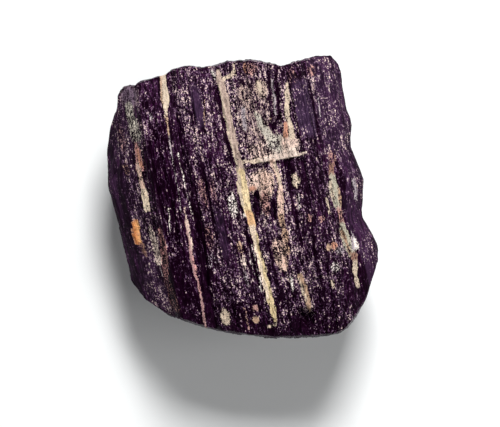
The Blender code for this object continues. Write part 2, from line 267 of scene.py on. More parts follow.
def layered(across, along, layers, seed, step=1):
    """Depth from 0 to 1 of layers of splinters."""
    depth = np.zeros(across.shape)
    for number, (width, length, weight) in enumerate(layers):
        depth += weight * splinters(across, along, width, length, seed + step * number)
    return depth


def grain(x, y):
    """Bend a straight line of growth to follow the veins beside it."""
    left = at(LEFT_VEIN, y) - LEFT_VEIN_AT
    middle = at(MAIN_VEIN, y) - MAIN_VEIN_AT
    right = at(RIGHT_VEIN, y) - RIGHT_VEIN_AT
    knots = [-HALF_WIDTH, LEFT_VEIN_AT, MAIN_VEIN_AT, RIGHT_VEIN_AT, HALF_WIDTH]
    shift = np.zeros(np.shape(x))
    for knot, before, after, move in zip(knots[1:-1], knots, knots[2:], (left, middle, right)):
        shift += np.interp(x, [before, knot, after], [0.0, 1.0, 0.0]) * move
    return x + shift


def off_spot(x, y, spot_x, spot_y, half_width, half_length):
    """How far each point is from a spot's middle, where 1 is the spot's edge."""
    return np.hypot((x - spot_x) / half_width, (y - spot_y) / half_length)


def ledge_drop(x, y):
    """Depth of the face under the ledges, whose broken edges are ragged."""
    ragged = 0.35 * noise(x / 0.5, 3.3, 0.0, SEED + 2) + 0.3 * noise(x / 1.7, 8.1, 0.0, SEED + 3)
    drop = np.zeros(x.shape)
    for ledge in LEDGES:
        below = ledge.y + ragged - y
        across = np.minimum(x - ledge.left, ledge.right - x) / LEDGE_EDGE
        along = np.minimum(below / LEDGE_RUN, 1.0) * (1.0 - below / ledge.reach)
        inside = (below > 0.0) & (below < ledge.reach)
        drop += np.where(inside, ledge.drop * along * np.clip(across, 0.0, 1.0), 0.0)
    return drop


def pit_depth(x, y):
    """Depth of the front's hollows, whose rims are uneven."""
    rim = uneven(PIT_RIM, x, y)
    depth = np.zeros(x.shape)
    for *spot, deepest in PITS:
        distance = off_spot(x, y, *spot) + rim
        depth = np.maximum(depth, deepest * ease(PIT_STEEPNESS * (1.0 - distance)))
    return depth


def slump(y, start, amount):
    """Fall of a face towards the ends of the stone."""
    past = np.maximum(np.abs(y) - start, 0.0) / (HALF_LENGTH - start)
    return amount * past * past


def polish(x, y):
    """How smooth the front is, from 0 to 1."""
    level = at(POLISH, x) + uneven(POLISH_PATCHES, x, y)
    return np.clip(np.maximum(level, smooth_face_and_sheen(x, y)), 0.0, 1.0)


def smooth_face_and_sheen(x, y):
    """How much of the surface is one of the few smooth crystal faces, which are polished and carry a
    painted lilac sheen.
    """
    rim = uneven(FACE_RIM, x, y)
    cover = np.zeros(x.shape)
    for face_x, face_y, half_width, half_length, share in SMOOTH_FACES:
        across = np.abs(x - face_x) / half_width
        along = np.abs(y - face_y) / half_length
        inside = (across**4 + along**4) ** 0.25 + rim
        cover = np.maximum(cover, share * ease(5.0 * (1.1 - inside)))
    return cover


def striations(across, along, seed):
    """Depth from 0 to 1 of fine lengthwise lines, which fade in and out along the stone."""
    depth = np.zeros(across.shape)
    for number, (width, length, weight) in enumerate(STRIATIONS):
        depth += weight * np.abs(noise(across / width, along / length, 0.0, seed + number))
    return depth


def pebbles(across, along, seed):
    """Unevenness of rounded grains, from about -1.6 to 1.6."""
    return uneven(COARSE_PEBBLES, across, along, seed) + uneven(FINE_PEBBLES, across, along, seed)


def face_relief(across, along, smooth, seed):
    """Depth of all fine relief of a lengthwise face."""
    rough = 1.0 - smooth
    steps = layered(across, along, SPLINTERS, seed + 10, 10)
    depth = (STRIATION_DEPTH + ROUGH_STRIATION_DEPTH * rough) * striations(across, along, seed)
    depth += (SPLINTER_DEPTH + ROUGH_SPLINTER_DEPTH * rough) * steps
    depth += PEBBLE_DEPTH * rough * (pebbles(across, along, seed + 30) + 1.0)
    return depth


def front_height(x, y):
    """Height of the striated front above the plane the stone rests on."""
    height = at(FRONT_CROWN, x) + at(FRONT_PROFILE, x + uneven(PROFILE_WANDER, x, y))
    height -= ledge_drop(x, y) + pit_depth(x, y) + slump(y, FRONT_SLUMP_START, FRONT_SLUMP)
    height -= SWELL_DEPTH * ease(0.5 + uneven(FRONT_SWELL, x, y))
    height -= crack_cover(grain(x, y), y)[1]
    return height - face_relief(x, y, polish(x, y), SEED)


def back_height(x, y):
    """Height of the back, which touches 0 along the ridges of the face that the stone rests on."""
    height = at(BACK_CROWN, x) + slump(y, BACK_SLUMP_START, BACK_SLUMP)
    for groove, half_width, depth in BACK_GROOVES:
        height += depth * np.maximum(1.0 - np.abs(x - groove) / half_width, 0.0)
    smooth = np.full(x.shape, BACK_SMOOTHNESS)
    return height + BACK_RELIEF * face_relief(x + BACK_SHIFT, y, smooth, SEED + 100)


def end_shards(x, level, seed):
    """Depth from 0 to 1 of the small broken faces of an end."""
    deep = level * DEEP_MM
    lean = uneven(SHARD_LEAN, x, deep, seed)
    broad = splinters(x + 0.5 * deep + lean, deep - lean, 1.9, 3.2, seed + 4)
    return 0.6 * broad + 0.4 * splinters(x - 0.4 * deep + lean, deep + lean, 0.8, 1.5, seed + 6)


def end_relief(x, level, seed):
    """How far a broken end lies behind its outline: stepped crystals, then grain."""
    table = np.random.default_rng(seed).uniform(0.0, 1.0, (LATTICE, LATTICE))
    bend = 0.5 * noise(level * 2.0, 0.0, 0.0, seed + 1)
    column = np.floor(x / STEP_WIDTH + bend).astype(int) % LATTICE
    band = np.floor(level / STEP_HEIGHT + 5.0 * table[column, 0]).astype(int) % LATTICE
    fade = np.clip((END_STEP_TOP - level) / END_STEP_TOP, 0.0, 1.0)
    steps = END_STEP * table[column, band] * fade
    deep = level * DEEP_MM
    lumps = LUMP_DEPTH * (1.0 + uneven(END_LUMPS, x, deep, seed))
    lumps = lumps * np.clip(OUTLINE_LEVEL - level, 0.0, 1.0)
    pebble = uneven(END_PEBBLES, x, deep, seed)
    shards = SHARD_DEPTH * (end_shards(x, level, seed) - SHARE_OUT)
    shards = shards * np.clip((SHARD_TOP - level) / SIDE_FADE, 0.0, 1.0)
    return steps + lumps + pebble + shards


def flank_columns(y, level, seed):
    """Depth from 0 to 1 of the long crystals that make a flank."""
    return layered(level * DEEP_MM, y, COLUMNS, seed + 60)


def flank_relief(y, level, seed):
    """How far a flank lies behind its outline: broad swells, then lengthwise lines."""
    around = level * DEEP_MM
    off_outline = np.abs(level - OUTLINE_LEVEL)
    swell = SWELL_DEPTH * (1.0 + uneven(FLANK_SWELL, around, y, seed)) * off_outline
    columns = COLUMN_DEPTH * flank_columns(y, level, seed) * np.clip(off_outline / SIDE_FADE, 0.0, 1.0)
    fine = FLANK_RELIEF * face_relief(around, y, np.full(y.shape, FLANK_SMOOTHNESS), seed + 40)
    return swell + columns + fine - FLANK_OUT


def fit_to_outline(line_x, line_y, sides, ends):
    """Move points of the block so that the block's edges land on the stone's outline."""
    left_in, right_in = sides
    upper_in, lower_in = ends
    left_share = np.maximum(1.0 - (line_x + HALF_WIDTH) / SIDE_REACH, 0.0)
    right_share = np.maximum(1.0 - (HALF_WIDTH - line_x) / SIDE_REACH, 0.0)
    upper_share = np.maximum(1.0 - (HALF_LENGTH - line_y) / UPPER_REACH, 0.0)
    lower_share = np.maximum(1.0 - (line_y + HALF_LENGTH) / LOWER_REACH, 0.0)
    x, y = line_x, line_y
    for _ in range(FIT_ROUNDS):
        upper_shift = at(UPPER_END, x) - upper_in - HALF_LENGTH
        lower_shift = at(LOWER_END, x) + lower_in + HALF_LENGTH
        y = line_y + upper_shift * upper_share + lower_shift * lower_share
        left_shift = at(LEFT_SIDE, y) + left_in + HALF_WIDTH
        right_shift = at(RIGHT_SIDE, y) - right_in - HALF_WIDTH
        x = grain(line_x, y) + left_shift * left_share + right_shift * right_share
    return x, y


def stone_points(line_x, line_y, level):
    """Where the points of the block lie on the stone."""
    sides = (
        at(LEFT_FLANK, level) + flank_relief(line_y, level, LEFT_SEED),
        at(RIGHT_FLANK, level) + flank_relief(line_y, level, RIGHT_SEED),
    )
    ends = (
        at(UPPER_DRAW, level) + end_relief(line_x, level, UPPER_SEED),
        at(LOWER_DRAW, level) + end_relief(line_x, level, LOWER_SEED),
    )
    x, y = fit_to_outline(line_x, line_y, sides, ends)
    low = back_height(line_x, line_y)
    high = front_height(line_x, line_y)
    z = low + (high - low) * (level + 1.0) / 2.0
    return np.stack([x, y, z], axis=-1)


def block_surface():
    """Grid numbers of the points on a block's surface, and its quads, each with the side it is on."""
    shape = (GRID_ACROSS + 1, GRID_ALONG + 1, GRID_DEEP + 1)
    outside = np.zeros(shape, bool)
    for axis in range(3):
        np.moveaxis(outside, axis, 0)[[0, -1]] = True
    number = np.full(shape, -1)
    number[outside] = np.arange(outside.sum())
    quads = []
    side_of = []
    for axis in range(3):
        for end in (0, -1):
            side = np.moveaxis(number, axis, 0)[end]
            quad = np.stack([side[:-1, :-1], side[1:, :-1], side[1:, 1:], side[:-1, 1:]], axis=-1)
            quad = quad.reshape(-1, 4)
            if (end == -1) == (axis == 1):
                quad = quad[:, ::-1]
            quads.append(quad)
            side_of.append(np.full(len(quad), 2 * axis - end))
    return np.argwhere(outside), np.concatenate(quads), np.concatenate(side_of)


# ---- seams and patches

CREAM = (0.52, 0.42, 0.32)
TAN = (0.38, 0.25, 0.17)
BEIGE = (0.40, 0.30, 0.25)
YELLOW = (0.55, 0.43, 0.25)
STRAW = (0.74, 0.58, 0.35)
GOLD = (0.62, 0.38, 0.20)
IVORY = (0.68, 0.55, 0.42)
AMBER = (0.44, 0.16, 0.058)
GLOW = (0.84, 0.42, 0.17)
BLUSH = (0.50, 0.25, 0.235)
SALMON = (0.45, 0.22, 0.15)
ROSE = (0.60, 0.45, 0.38)
PINK = (0.36, 0.20, 0.175)
BROWN = (0.22, 0.12, 0.09)
MAUVE = (0.32, 0.18, 0.18)
GREEN = (0.36, 0.33, 0.26)
SAGE = (0.44, 0.40, 0.34)
GREY = (0.34, 0.29, 0.31)
SHELL = (0.62, 0.50, 0.43)
PEACH = (0.60, 0.42, 0.34)
WHITE = (0.70, 0.63, 0.58)
DUST = (0.16, 0.11, 0.15)

# Seams that show as lines: colour, how solid one is, and its points of (x, y, half width)
SEAMS = [
    # main vein, from the upper end
    (BEIGE, 0.85, [(0.6, 22.3, 0.35), (0.8, 20.8, 0.6), (0.9, 19.6, 0.66), (0.8, 11.3, 0.7)]),
    (BEIGE, 0.82, [(0.8, 11.3, 0.72), (1.0, 8.9, 0.62), (1.2, 6.7, 0.55), (1.2, 5.2, 0.65)]),
    (CREAM, 0.7, [(0.4, 20.0, 0.15), (0.4, 11.0, 0.15), (0.7, 6.0, 0.15)]),
    (YELLOW, 0.8, [(1.2, 5.2, 0.6), (0.9, 3.2, 0.75), (0.9, 1.6, 0.85)]),
    (STRAW, 0.8, [(0.9, 1.6, 0.85), (1.0, -0.3, 0.75), (1.2, -1.8, 0.65)]),
    (CREAM, 0.8, [(0.7, 5.2, 0.2), (0.4, 2.6, 0.3), (0.3, 1.0, 0.35), (0.6, -0.5, 0.15)]),
    (GOLD, 0.8, [(1.2, -1.8, 0.65), (1.3, -3.8, 0.65)]),
    (IVORY, 0.78, [(1.2, -4.2, 0.55), (1.35, -7.9, 0.5), (1.5, -11.3, 0.55), (1.7, -16.4, 0.55)]),
    (YELLOW, 0.72, [(1.6, -5.2, 0.2), (1.75, -11.0, 0.25), (2.0, -17.0, 0.3)]),
    (YELLOW, 0.7, [(1.75, -16.4, 0.5), (1.9, -18.6, 0.45), (1.9, -20.0, 0.3)]),
    (CREAM, 0.62, [(0.7, -20.7, 0.3), (1.9, -20.6, 0.3)]),
    # flares beside its upper end
    (WHITE, 0.52, [(-0.3, 22.4, 0.35), (-0.1, 21.2, 0.3)]),
    (CREAM, 0.62, [(1.3, 20.9, 0.35), (2.4, 21.0, 0.45), (3.2, 21.6, 0.35)]),
    (CREAM, 0.6, [(3.5, 23.0, 0.2), (3.4, 21.0, 0.2)]),
    # left vein
    (CREAM, 0.85, [(-8.3, 24.0, 0.6), (-8.5, 22.5, 0.6), (-8.7, 19.9, 0.65), (-8.9, 18.1, 0.5)]),
    (CREAM, 0.75, [(-8.9, 18.1, 0.5), (-9.2, 16.5, 0.25)]),
    (TAN, 0.66, [(-8.8, 23.6, 0.2), (-9.1, 21.0, 0.2), (-9.3, 18.7, 0.15)]),
    (TAN, 0.64, [(-9.1, 16.6, 0.25), (-9.4, 13.3, 0.15)]),
    (GREY, 0.6, [(-9.4, 13.3, 0.14), (-9.5, 7.0, 0.14), (-9.8, 0.5, 0.12)]),
    (WHITE, 0.58, [(-8.4, 10.3, 0.13), (-8.3, 3.9, 0.14), (-8.1, -1.0, 0.12)]),
    (MAUVE, 0.8, [(-9.2, 1.3, 0.15), (-9.2, -2.0, 0.28), (-9.5, -6.8, 0.26)]),
    (MAUVE, 0.8, [(-9.5, -6.8, 0.26), (-9.3, -12.5, 0.24)]),
    (MAUVE, 0.72, [(-9.3, -12.5, 0.24), (-9.6, -19.4, 0.2)]),
    (ROSE, 0.68, [(-9.1, 1.2, 0.14), (-9.2, -5.6, 0.14)]),
    (BLUSH, 0.56, [(-9.3, -7.0, 0.12), (-9.2, -13.0, 0.12)]),
    # ledge
    (CREAM, 0.66, [(1.8, 6.7, 0.3), (3.7, 6.5, 0.4), (5.3, 6.4, 0.45)]),
    (SHELL, 0.68, [(5.0, 6.4, 0.4), (7.0, 6.4, 0.5), (8.7, 6.6, 0.65), (10.3, 6.8, 0.8)]),
    (SHELL, 0.8, [(7.0, 6.2, 0.3), (9.0, 6.2, 0.35), (11.0, 6.2, 0.3), (12.4, 6.2, 0.2)]),
    # left of the smooth crystal
    (CREAM, 0.74, [(11.4, 17.9, 0.3), (11.1, 16.6, 0.3), (10.8, 14.8, 0.5), (10.4, 12.9, 0.35)]),
    (CREAM, 0.74, [(10.4, 12.9, 0.3), (10.6, 11.0, 0.4), (10.6, 9.2, 0.5)]),
    (SALMON, 0.66, [(9.9, 11.6, 0.3), (9.6, 9.6, 0.45)]),
    # below the ledge
    (PEACH, 0.74, [(6.6, 6.0, 0.4), (7.0, 3.4, 0.45), (7.1, 1.4, 0.4)]),
    (CREAM, 0.66, [(6.9, 5.6, 0.2), (7.2, 1.8, 0.2)]),
    (PEACH, 0.66, [(7.0, 1.4, 0.4), (6.6, -0.7, 0.55), (6.2, -3.6, 0.5)]),
    (TAN, 0.52, [(6.1, -3.3, 0.5), (6.3, -6.1, 0.65)]),
    # right vein
    (BROWN, 0.6, [(16.0, 3.4, 0.5), (15.7, 1.5, 0.5)]),
    (GREEN, 0.68, [(15.8, 1.4, 0.6), (15.7, -0.4, 0.8), (15.7, -2.4, 0.75), (15.9, -4.1, 0.5)]),
    (CREAM, 0.58, [(15.4, 1.0, 0.2), (15.3, -2.4, 0.2)]),
    (TAN, 0.58, [(16.4, -0.6, 0.15), (16.4, -3.4, 0.2)]),
    (PINK, 0.52, [(15.9, -4.1, 0.5), (15.9, -5.6, 0.45), (15.8, -6.8, 0.6)]),
    (GREEN, 0.64, [(15.8, -6.8, 0.6), (16.2, -10.1, 0.85), (16.6, -11.7, 0.6)]),
    (TAN, 0.55, [(15.5, -7.5, 0.2), (16.3, -11.4, 0.3)]),
    (BROWN, 0.6, [(16.9, -11.9, 0.5), (16.7, -13.0, 0.4)]),
    (CREAM, 0.66, [(16.7, -13.2, 0.45), (16.5, -15.0, 0.4), (16.4, -17.3, 0.25)]),
    (GREY, 0.6, [(17.3, -7.8, 0.3), (17.3, -10.8, 0.45)]),
    (WHITE, 0.66, [(17.6, -8.4, 0.15), (17.5, -10.9, 0.3)]),
    # left strip
    (AMBER, 0.95, [(-17.8, 0.5, 0.6), (-17.95, -1.1, 0.7), (-18.0, -2.6, 0.65)]),
    (GLOW, 0.95, [(-17.3, 0.4, 0.2), (-17.5, -1.2, 0.25), (-17.6, -2.8, 0.22)]),
    (BROWN, 0.55, [(-17.4, -3.4, 0.4), (-17.1, -5.2, 0.4)]),
    (BLUSH, 0.6, [(-15.0, 13.0, 0.4), (-14.9, 10.8, 0.6), (-15.2, 8.9, 0.6)]),
    (SALMON, 0.58, [(-15.0, 12.2, 0.2), (-14.7, 9.4, 0.3)]),
    (PEACH, 0.62, [(-15.3, 10.0, 0.3), (-15.3, 8.0, 0.4), (-15.2, 5.2, 0.4)]),
    (IVORY, 0.66, [(-15.2, 5.4, 0.4), (-15.2, 4.0, 0.65), (-15.3, 2.3, 0.6)]),
    (GREY, 0.6, [(-15.0, -6.0, 0.15), (-15.0, -9.1, 0.15)]),
    (BLUSH, 0.45, [(-13.9, -1.4, 0.4), (-13.9, -4.6, 0.7), (-14.2, -7.4, 0.6), (-14.4, -10.0, 0.5)]),
    (BLUSH, 0.37, [(-14.3, -10.0, 0.6), (-14.2, -12.6, 0.9), (-13.6, -15.0, 0.6)]),
    (GREY, 0.58, [(-16.7, -5.7, 0.12), (-16.9, -9.5, 0.12)]),
    (SHELL, 0.5, [(-15.4, -1.0, 0.4), (-15.3, -3.4, 0.65), (-15.1, -6.9, 0.45)]),
    # smaller streaks and scratches
    (TAN, 0.72, [(7.4, -13.5, 0.5), (7.6, -15.2, 0.55), (7.7, -17.2, 0.5), (7.8, -19.6, 0.15)]),
    (CREAM, 0.6, [(7.2, -14.0, 0.2), (7.5, -17.6, 0.2)]),
    (WHITE, 0.5, [(0.4, -6.6, 0.35), (0.2, -9.4, 0.45), (0.4, -12.1, 0.4), (0.7, -14.7, 0.25)]),
    (WHITE, 0.56, [(5.9, -13.4, 0.33), (5.9, -15.7, 0.25)]),
    (WHITE, 0.5, [(9.7, -0.2, 0.2), (9.3, -2.8, 0.2)]),
    (CREAM, 0.52, [(14.1, -1.7, 0.25), (14.1, -4.3, 0.25)]),
    (PINK, 0.62, [(-2.7, -16.8, 0.15), (-2.7, -20.5, 0.15)]),
    (GREY, 0.66, [(16.0, 14.9, 0.13), (15.9, 13.2, 0.13), (16.0, 11.5, 0.12)]),
    (GREY, 0.62, [(18.2, 18.7, 0.15), (18.6, 16.4, 0.15)]),
    (GREY, 0.6, [(19.3, 0.2, 0.4), (19.1, -2.9, 0.45)]),
    (WHITE, 0.9, [(-12.4, 1.85, 0.12), (-10.7, 1.5, 0.12)]),
    (WHITE, 0.74, [(-11.8, 1.7, 0.13), (-12.1, -2.2, 0.12)]),
    (TAN, 0.58, [(-2.4, 18.4, 0.13), (-3.2, 13.6, 0.13)]),
    (TAN, 0.6, [(8.2, 16.3, 0.15), (7.8, 12.7, 0.15)]),
    (GREY, 0.58, [(9.2, 19.0, 0.25), (8.6, 13.4, 0.25)]),
    (SAGE, 0.6, [(5.5, 14.2, 0.35), (6.0, 11.9, 0.6), (7.1, 9.7, 0.75)]),
    (GREY, 0.58, [(3.5, 15.4, 0.35), (3.2, 12.1, 0.4)]),
    (SAGE, 0.56, [(-15.0, 19.7, 0.6), (-15.1, 17.1, 0.6)]),
    (SAGE, 0.47, [(-14.7, 16.8, 0.95), (-14.6, 14.4, 0.95)]),
]
# Patches: colour, how solid one is, x, y, half width, half length
PATCHES = [
    # between the main vein and the smooth crystal
    (BEIGE, 0.34, 5.3, 13.4, 3.3, 7.6),
    (ROSE, 0.42, 5.3, 8.0, 2.6, 1.5),
    (SAGE, 0.5, 8.1, 8.6, 1.9, 1.6),
    (ROSE, 0.6, 10.2, 8.3, 1.6, 1.4),
    (BEIGE, 0.6, 7.2, 18.0, 1.1, 1.6),
    (CREAM, 0.8, 6.9, 18.3, 0.25, 1.1),
    (BEIGE, 0.42, 4.0, 17.4, 0.8, 2.2),
    (PINK, 0.42, 6.1, 21.6, 1.3, 1.2),
    (SALMON, 0.46, 5.2, 21.9, 0.4, 1.0),
    (PINK, 0.38, 12.5, 19.0, 0.9, 1.6),
    (PINK, 0.42, 15.9, 19.4, 0.8, 1.2),
    # below the ledge
    (ROSE, 0.6, 4.0, 2.6, 2.2, 2.4),
    (PEACH, 0.58, 5.0, 2.6, 1.2, 2.3),
    (PINK, 0.46, 4.1, -0.8, 0.9, 2.1),
    (SALMON, 0.85, 2.5, 2.1, 0.65, 0.42),
    (CREAM, 0.54, 9.8, 2.0, 0.9, 1.3),
    (PINK, 0.5, 10.7, -4.5, 0.6, 0.8),
    (PINK, 0.48, 12.7, -5.0, 0.7, 0.7),
    (TAN, 0.74, 12.9, -9.8, 0.5, 0.75),
    (SALMON, 0.66, 13.9, -9.7, 0.5, 0.75),
    (GREY, 0.5, 14.7, -10.7, 0.8, 0.7),
    (WHITE, 0.42, 13.3, -13.2, 0.9, 1.0),
    (CREAM, 0.58, 12.3, -15.8, 0.4, 0.8),
    (TAN, 0.44, 6.1, -7.7, 0.9, 2.6),
    (PEACH, 0.44, 4.7, -9.2, 1.3, 3.0),
    (PEACH, 0.56, 5.0, -11.0, 0.8, 1.3),
    (PINK, 0.46, 16.4, 4.4, 0.7, 1.5),
    # left of the main vein
    (WHITE, 0.48, -1.2, 0.1, 0.9, 2.4),
    (WHITE, 0.85, 0.2, -1.9, 0.3, 0.45),
    (TAN, 0.5, -1.3, -7.1, 0.6, 1.3),
    (SHELL, 0.52, -1.2, -9.4, 0.6, 1.2),
    (GREY, 0.46, -1.4, -12.2, 0.35, 1.5),
    (PINK, 0.38, -5.6, 2.7, 0.8, 3.2),
    (PINK, 0.34, -3.9, 3.0, 0.6, 2.6),
    (PINK, 0.34, -6.1, -4.3, 1.0, 2.4),
    (GREY, 0.34, -6.3, -8.4, 1.4, 1.8),
    (CREAM, 0.74, -6.0, -17.7, 0.8, 1.5),
    (TAN, 0.7, -1.2, -19.1, 0.6, 0.7),
    (PINK, 0.5, -0.9, -17.2, 0.8, 0.7),
    # left strip
    (BROWN, 0.44, -17.4, -3.7, 0.7, 1.1),
    (YELLOW, 0.62, -15.4, 3.3, 0.4, 0.8),
    (BROWN, 0.42, -17.4, 9.5, 0.7, 1.3),
    (PINK, 0.32, -17.2, 14.6, 0.8, 3.4),
    (GREY, 0.42, -11.6, 17.0, 0.4, 0.8),
    (DUST, 0.52, -14.6, 21.2, 1.7, 2.2),
    (TAN, 0.6, -14.3, -10.5, 0.6, 0.8),
]
# Cracks and grooves, painted dark as shade: depth, and points of (x, y, half width)
CRACKS = [
    (0.2, [(-0.1, 19.2, 0.2), (-0.1, 11.4, 0.22), (0.3, 5.6, 0.18)]),
    (0.35, [(-7.0, 5.0, 0.35), (-7.1, 3.0, 0.45), (-7.2, -2.4, 0.6), (-7.8, -9.5, 0.65)]),
    (0.35, [(-7.8, -9.5, 0.65), (-8.3, -16.5, 0.5)]),
    (0.45, [(8.8, 20.6, 0.22), (7.9, 13.2, 0.2)]),
    (0.45, [(10.0, 20.2, 0.22), (9.1, 12.7, 0.2)]),
    (0.3, [(-12.6, 14.0, 0.2), (-12.8, 4.0, 0.25), (-12.9, -4.0, 0.15)]),
    (0.3, [(-11.3, 14.5, 0.15), (-11.0, 5.0, 0.25), (-11.2, -7.0, 0.2)]),
    (0.25, [(-5.0, 9.0, 0.12), (-4.8, 2.0, 0.2), (-4.9, -5.0, 0.12)]),
    (0.3, [(8.6, 5.6, 0.15), (8.5, -3.0, 0.25), (8.7, -9.0, 0.12)]),
    (0.3, [(11.3, 5.2, 0.2), (11.5, -3.0, 0.2)]),
    (0.3, [(10.5, -8.0, 0.15), (10.7, -18.0, 0.25)]),
    (0.25, [(3.4, -5.5, 0.15), (3.3, -14.0, 0.25)]),
    (0.3, [(15.2, 17.8, 0.15), (15.0, 11.2, 0.25), (15.1, 7.8, 0.22), (15.1, 3.6, 0.15)]),
    (0.3, [(13.6, 18.8, 0.25), (14.9, 19.3, 0.25)]),
    (0.3, [(17.5, 19.8, 0.14), (17.6, 17.3, 0.12)]),
    (0.2, [(3.0, 1.3, 0.4), (2.4, -2.3, 0.5)]),
    (0.2, [(5.3, -0.7, 0.3), (5.0, -3.2, 0.4)]),
    (0.3, [(7.8, 11.6, 0.4), (7.9, 11.2, 0.4)]),
    (0.2, [(0.1, -4.7, 0.2), (0.4, -13.6, 0.15)]),
    (0.4, [(6.6, -20.8, 0.8), (6.8, -22.4, 0.7)]),
]
# How dull the stone is, at a place across it: its flanks, and the step beside the dark face
WORN = [
    (-19.5, 1.0), (-17.5, 0.1), (-15.4, 0.1), (-14.8, 1.0), (-13.6, 1.0), (-12.8, 0.0), (16.5, 0.0),
    (19.5, 1.0),
]
SEAM_EDGE = 0.16  # width over which a seam's edge fades
PATCH_EDGE = 0.35  # the same for a patch, as a share of its size

# Pale grains on the black, partly painted glints: how many, at a place across the front, and patches
# with more or fewer
SPECKLE = [
    (-21.2, 0.05), (-18.6, 0.1), (-17.4, 0.4), (-14.5, 0.4), (-13.8, 0.2), (-9.8, 0.22),
    (-8.8, 0.1), (-7.0, 0.2), (-6.4, 0.4), (-4.8, 0.42), (-0.8, 0.4), (2.0, 0.5), (9.0, 0.5),
    (12.0, 0.4), (15.5, 0.4), (17.2, 0.3), (21.2, 0.3),
]
# How black the stone is between its grains, at a place across the front: its own black, and painted
# shade in the grooves
SHADE_AND_BLACK = [
    (-18.4, 0.0), (-17.4, 0.4), (-14.5, 0.5), (-13.8, 0.9), (-9.8, 0.8), (-9.0, 0.9), (-6.8, 0.9),
    (-6.2, 0.5), (-1.0, 0.4), (2.0, 0.4), (9.0, 0.6), (12.0, 0.5), (15.5, 0.2), (21.2, 0.1),
]
SPOT_REACH = 1.5  # how far out a change of these two fades, in half widths and half lengths
# Where there is more or less of it: x, y, half width, half length, change
# The spots with fewer grains below y -18 dim the lower edge as painted shade
SPECKLE_SPOTS = [
    (5.3, 14.0, 3.6, 8.0, 0.15), (4.5, 3.0, 3.0, 3.4, 0.1), (-14.6, 21.2, 1.8, 2.4, 0.4),
    (13.4, 13.5, 1.4, 4.8, -0.25), (-3.7, 17.2, 0.7, 3.5, -0.4), (-3.8, -4.0, 0.9, 3.8, -0.35),
    (18.1, -5.2, 1.4, 4.0, -0.3), (18.0, -16.5, 3.0, 5.0, -0.25), (-6.0, 18.0, 2.2, 7.0, 0.12),
    (9.0, 3.2, 1.0, 3.0, -0.35), (12.0, 1.5, 2.0, 5.0, -0.15), (5.0, -23.5, 12.0, 2.5, -0.3),
    (-14.0, -13.0, 6.0, 5.0, -0.12), (-8.0, -20.5, 6.0, 2.0, -0.2), (-12.0, 16.0, 2.0, 7.0, 0.15),
    (2.0, -19.0, 11.0, 4.0, -0.16),
]
# The spots below y -18 darken the lower edge as painted shade
SHADE_AND_BLACK_SPOTS = [
    (9.2, 3.0, 1.2, 3.4, 0.5), (12.5, 1.0, 2.5, 5.0, 0.3), (16.0, -16.5, 5.0, 7.0, 0.4),
    (-11.5, -12.0, 3.5, 6.0, 0.3), (-19.0, -12.0, 2.0, 6.0, 0.4), (4.0, -23.0, 14.0, 2.5, 0.4),
    (2.7, -5.0, 1.2, 5.0, 0.3),
    (-12.0, 17.0, 2.5, 8.0, -0.6), (-5.0, 17.0, 4.0, 8.0, -0.3), (2.0, -19.0, 11.0, 4.0, 0.2),
]


def seam_cover(x, y, path):
    """How much of the surface a seam covers at each point, from 0 to 1."""
    cover = np.zeros(x.shape)
    for (x0, y0, w0), (x1, y1, w1) in zip(path, path[1:]):
        run_x, run_y = x1 - x0, y1 - y0
        share = np.clip(((x - x0) * run_x + (y - y0) * run_y) / (run_x**2 + run_y**2), 0.0, 1.0)
        distance = np.hypot(x - x0 - share * run_x, y - y0 - share * run_y)
        half_width = w0 + (w1 - w0) * share
        cover = np.maximum(cover, np.clip((half_width - distance) / SEAM_EDGE + 0.5, 0.0, 1.0))
    return cover


def crack_cover(x, y):
    """How much of the surface lies in a crack, painted dark as shade, and how deep it is there."""
    cover = np.zeros(x.shape)
    depth = np.zeros(x.shape)
    for deepest, path in CRACKS:
        here = seam_cover(x, y, path)
        cover = np.maximum(cover, here)
        depth = np.maximum(depth, here * deepest)
    return cover, depth


def patch_cover(x, y, spot):
    """How much of the surface a patch covers at each point, from 0 to 1."""
    return ease((1.0 + PATCH_EDGE - off_spot(x, y, *spot)) / (2.0 * PATCH_EDGE))


def stains(x, y, level):
    """Colour and amount of the pale minerals at each point; the veins wander deeper in the stone."""
    ragged_x = x + uneven(SEAM_WANDER, x, y)
    ragged_x += (1.0 - level) * noise(level * 3.0, x / 6.0, 0.0, SEED + 52)
    ragged_x += uneven(SEAM_RAGS, x, y)
    colour = np.tile(np.array(BEIGE), (len(x), 1))
    amount = np.zeros(len(x))
    layers = [(patch_cover(ragged_x, y, spot), tint, solid) for tint, solid, *spot in PATCHES]
    layers += [(seam_cover(ragged_x, y, path), tint, solid) for tint, solid, path in SEAMS]
    for cover, tint, solid in layers:
        colour = colour * (1.0 - cover[:, None]) + np.array(tint) * cover[:, None]
        amount = amount * (1.0 - cover) + solid * cover
    return colour, amount


def on_end(line_y, level):
    """Whether each point is on a broken end, below its rim."""
    return (np.abs(line_y) == HALF_LENGTH) & (level < RIM_LEVEL)


def facets(line_x, line_y, level):
    """Random shade from 0 to 1 of the broken faces and crystals of the sides, and 0.5 elsewhere; it
    lightens some of them as painted sheen.
    """
    shade = np.full(line_x.shape, 0.5)
    for side, seed in ((-1, LEFT_SEED), (1, RIGHT_SEED)):
        flank = line_x * side == HALF_WIDTH
        shade = np.where(flank, flank_columns(line_y, level, seed), shade)
    for side, seed in ((1, UPPER_SEED), (-1, LOWER_SEED)):
        here = on_end(line_y, level) & (line_y * side > 0.0)
        shade = np.where(here, end_shards(line_x, level, seed), shade)
    return shade


def level_at(knots, spots, x, y):
    """Value from 0 to 1 at a place across the front, changed at a few spots."""
    level = at(knots, x) + uneven(LEVEL_PATCHES, x, y)
    for *spot, change in spots:
        level += change * ease(SPOT_REACH - off_spot(x, y, *spot))
    return np.clip(level, 0.0, 1.0)


# ---- mesh of the stone

